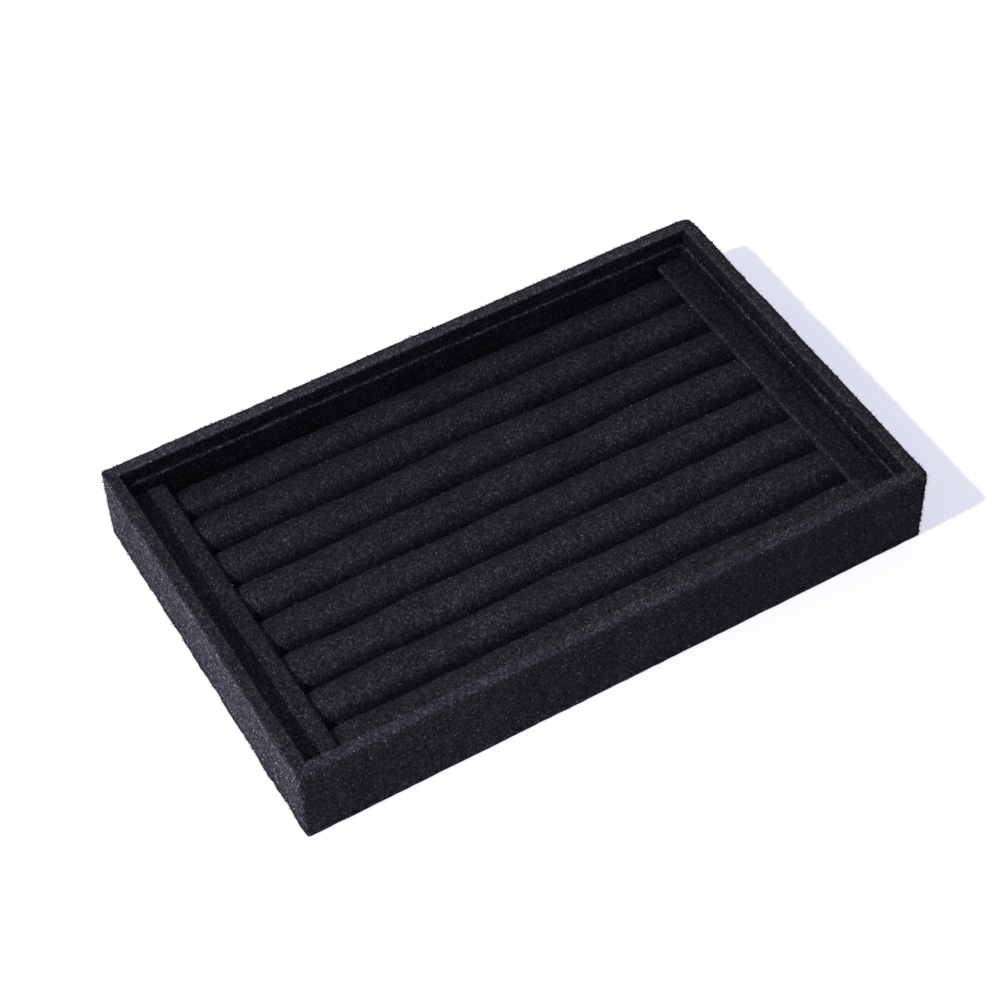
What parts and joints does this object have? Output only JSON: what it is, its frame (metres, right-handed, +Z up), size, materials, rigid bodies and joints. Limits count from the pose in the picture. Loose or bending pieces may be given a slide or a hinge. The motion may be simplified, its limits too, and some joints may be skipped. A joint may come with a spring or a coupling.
{
  "type": "jewelry tray",
  "caption": "Flat rectangular display tray in black velvet with a raised rim, an inner ledge and a lift-out insert of soft rolls whose creases hold finger rings upright.",
  "frame": {"origin": "middle of the underside, on the surface that the tray stands on", "axes": "+X along the tray's long side to its right, +Y from its front to its back, +Z up out of the rim"},
  "size_m": [0.225, 0.14, 0.03],
  "materials": {
    "velvet": "matte",
    "foam": "matte",
    "board": "matte",
    "card": "matte",
    "backing": "matte"
  },
  "bodies": {
    "tray": {"under_sheet": "backing", "base_board": "board", "floor_velvet": "velvet", "outer_velvet": "velvet", "liner_velvet": "velvet", "front_wall_board": "board", "front_liner_card": "card", "back_wall_board": "board", "back_liner_card": "card", "left_wall_board": "board", "left_liner_card": "card", "right_wall_board": "board", "right_liner_card": "card"},
    "insert": {"insert_card": "card", "left_strip_board": "card", "left_strip_velvet": "velvet", "right_strip_board": "card", "right_strip_velvet": "velvet", "roll_foam_1": "foam", "roll_velvet_1": "velvet", "roll_foam_2": "foam", "roll_velvet_2": "velvet", "roll_foam_3": "foam", "roll_velvet_3": "velvet", "roll_foam_4": "foam", "roll_velvet_4": "velvet", "roll_foam_5": "foam", "roll_velvet_5": "velvet", "roll_foam_6": "foam", "roll_velvet_6": "velvet", "roll_foam_7": "foam", "roll_velvet_7": "velvet", "roll_foam_8": "foam", "roll_velvet_8": "velvet"}
  },
  "joints": [
    {"name": "insert_lift", "type": "slide", "parent": "tray", "child": "insert", "axis": [0, 0, 1], "range_m": [0, 0.045]}
  ]
}
